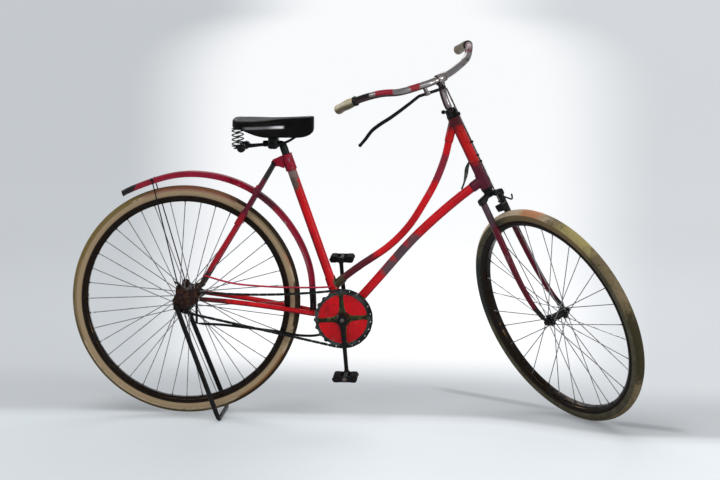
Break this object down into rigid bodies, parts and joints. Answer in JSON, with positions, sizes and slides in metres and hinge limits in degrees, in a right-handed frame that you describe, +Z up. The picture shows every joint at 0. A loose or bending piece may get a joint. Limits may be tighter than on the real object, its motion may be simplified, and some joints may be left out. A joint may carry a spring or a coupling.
{
  "type": "bicycle",
  "caption": "Old loop-frame roadster bicycle on its rear stand, with a sprung leather saddle, swept bars, block chain drive and a front plunger brake.",
  "frame": {"origin": "on the floor, at the bottom centre of the whole bicycle's box", "axes": "+X the way the bicycle faces, +Y to its left, +Z up; the chain is on the -Y side"},
  "size_m": [1.7498, 0.6348, 1.1613],
  "materials": {
    "red_paint": "old gloss, scratched",
    "black_enamel": "worn enamel",
    "nickel": "dulled nickel plate",
    "old_steel": "dull, slightly rusty",
    "chain_steel": "oily",
    "tyre_tan": "aged, dusty",
    "rim_dark": "worn",
    "saddle_leather": "polished by use",
    "grip_cream": "aged",
    "black_rubber": "matt"
  },
  "bodies": {
    "frame": {"bottom_bracket": "red_paint", "chain": "chain_steel", "chain_bridge": "red_paint", "chain_stay_left": "red_paint", "chain_stay_right": "red_paint", "down_tube": "red_paint", "guard_wire_lower": "black_enamel", "guard_wire_upper": "red_paint", "head_brace": "old_steel", "head_tube": "red_paint", "loop_tube": "red_paint", "mudguard_stay_left": "black_enamel", "mudguard_stay_right": "black_enamel", "rear_axle": "black_enamel", "rear_end_left": "black_enamel", "rear_end_right": "black_enamel", "rear_mudguard": "red_paint", "saddle_cantle": "black_enamel", "saddle_clamp": "black_enamel", "saddle_leather": "saddle_leather", "saddle_rails": "black_enamel", "saddle_spring_left": "old_steel", "saddle_spring_right": "old_steel", "seat_bridge": "red_paint", "seat_lug": "red_paint", "seat_post": "old_steel", "seat_stay_left": "red_paint", "seat_stay_right": "red_paint", "seat_tube": "red_paint"},
    "rear_wheel": {"rear_rim": "rim_dark", "rear_tyre": "tyre_tan", "rear_hub": "old_steel", "sprocket": "old_steel"},
    "crank": {"crank_axle": "old_steel", "chainring": "red_paint", "crank_right": "black_enamel", "crank_left": "black_enamel"},
    "pedal_right_body": {"pedal_right": "black_rubber"},
    "pedal_left_body": {"pedal_left": "black_rubber"},
    "stand_body": {"stand": "black_enamel"},
    "fork": {"fork_crown": "black_enamel", "fork_blade_right": "red_paint", "fork_blade_left": "red_paint", "front_axle": "black_enamel", "headset_clip": "black_enamel", "stem": "nickel", "handlebar": "nickel", "grip_right": "grip_cream", "grip_left": "grip_cream", "brake_lever": "black_enamel", "brake_rod": "old_steel", "brake_shoe": "black_rubber"},
    "front_wheel": {"front_rim": "rim_dark", "front_tyre": "tyre_tan", "front_hub": "old_steel"}
  },
  "joints": [
    {"name": "rear_wheel_spin", "type": "hinge", "parent": "frame", "child": "rear_wheel", "pos_m": [-0.5194, 0.01377, 0.36239], "axis": [0, 1, 0], "continuous": true},
    {"name": "crank_spin", "type": "hinge", "parent": "frame", "child": "crank", "pos_m": [-0.02943, 0.01377, 0.31619], "axis": [0, 1, 0], "continuous": true},
    {"name": "pedal_right_spin", "type": "hinge", "parent": "crank", "child": "pedal_right_body", "pos_m": [-0.01505, 0.01377, 0.15182], "axis": [0, 1, 0], "continuous": true},
    {"name": "pedal_left_spin", "type": "hinge", "parent": "crank", "child": "pedal_left_body", "pos_m": [-0.04381, 0.01377, 0.48056], "axis": [0, 1, 0], "continuous": true},
    {"name": "stand_fold", "type": "hinge", "parent": "frame", "child": "stand_body", "pos_m": [-0.5384, 0.01377, 0.34889], "axis": [0, 1, 0], "range_deg": [0, 135]},
    {"name": "steering", "type": "hinge", "parent": "frame", "child": "fork", "pos_m": [0.5979, 0.01377, 0.32099], "axis": [-0.4352, 0, 0.9003], "range_deg": [-21.2, 128.8]},
    {"name": "front_wheel_spin", "type": "hinge", "parent": "fork", "child": "front_wheel", "pos_m": [0.62465, -0.02682, 0.33392], "axis": [-0.7265, -0.5906, -0.3512], "continuous": true}
  ]
}
